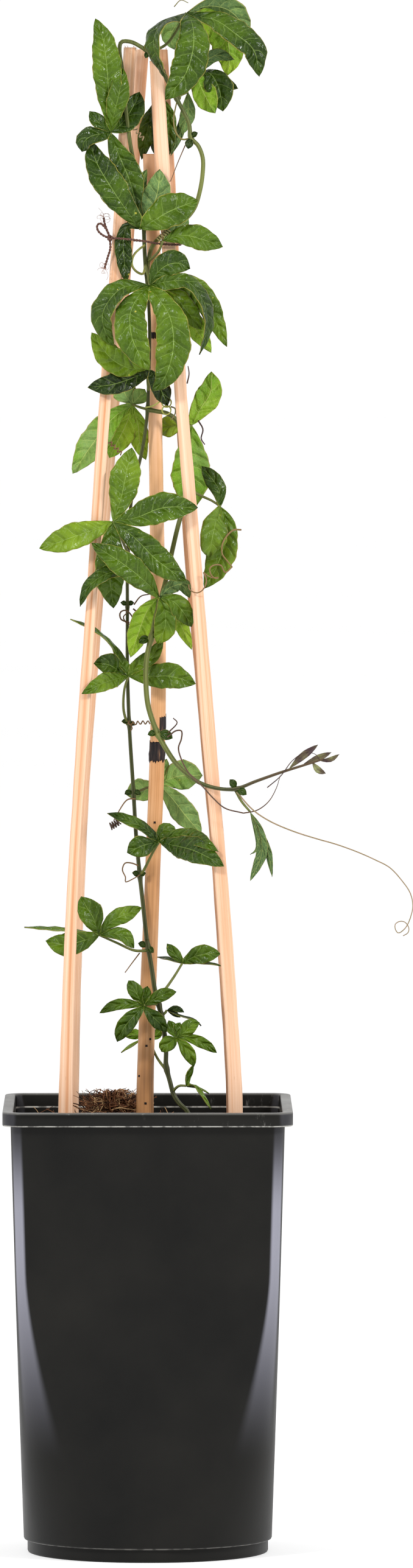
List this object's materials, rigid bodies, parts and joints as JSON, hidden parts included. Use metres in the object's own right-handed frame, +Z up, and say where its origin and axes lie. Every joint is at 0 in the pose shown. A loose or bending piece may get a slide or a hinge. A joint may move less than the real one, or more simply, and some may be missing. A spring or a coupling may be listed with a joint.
{
  "type": "potted passion flower vine",
  "caption": "Young climbing vine with palmate leaves and tendrils, tied to a wigwam of split-bamboo canes in a tall plastic nursery pot, square at the rim and round at the base.",
  "frame": {"origin": "middle of the pot's flat underside", "axes": "+Z up along the canes, -Y to the front, +X to the right as seen from the front, square with the rim's sides"},
  "size_m": [0.2124, 0.15, 0.81],
  "materials": {
    "pot_plastic": "black moulded plastic with a fine grain, glossier on the rim",
    "soil": "dark moist potting soil with coir fibre",
    "split_bamboo": "pale planed bamboo with straight fine grain",
    "round_bamboo": "tan satin bamboo rind with nodes and dark sheath remains",
    "tie_cord": "brown twisted cord",
    "vine_green": "glossy green leaves with a fine pale vein net, olive green stems"
  },
  "bodies": {
    "root": {"pot": "pot_plastic", "soil": "soil", "cane_front_left": "split_bamboo", "cane_front_right": "split_bamboo", "cane_back_left": "split_bamboo", "cane_back_right": "split_bamboo", "bamboo": "round_bamboo", "tie": "tie_cord", "vine": "vine_green"}
  },
  "joints": []
}
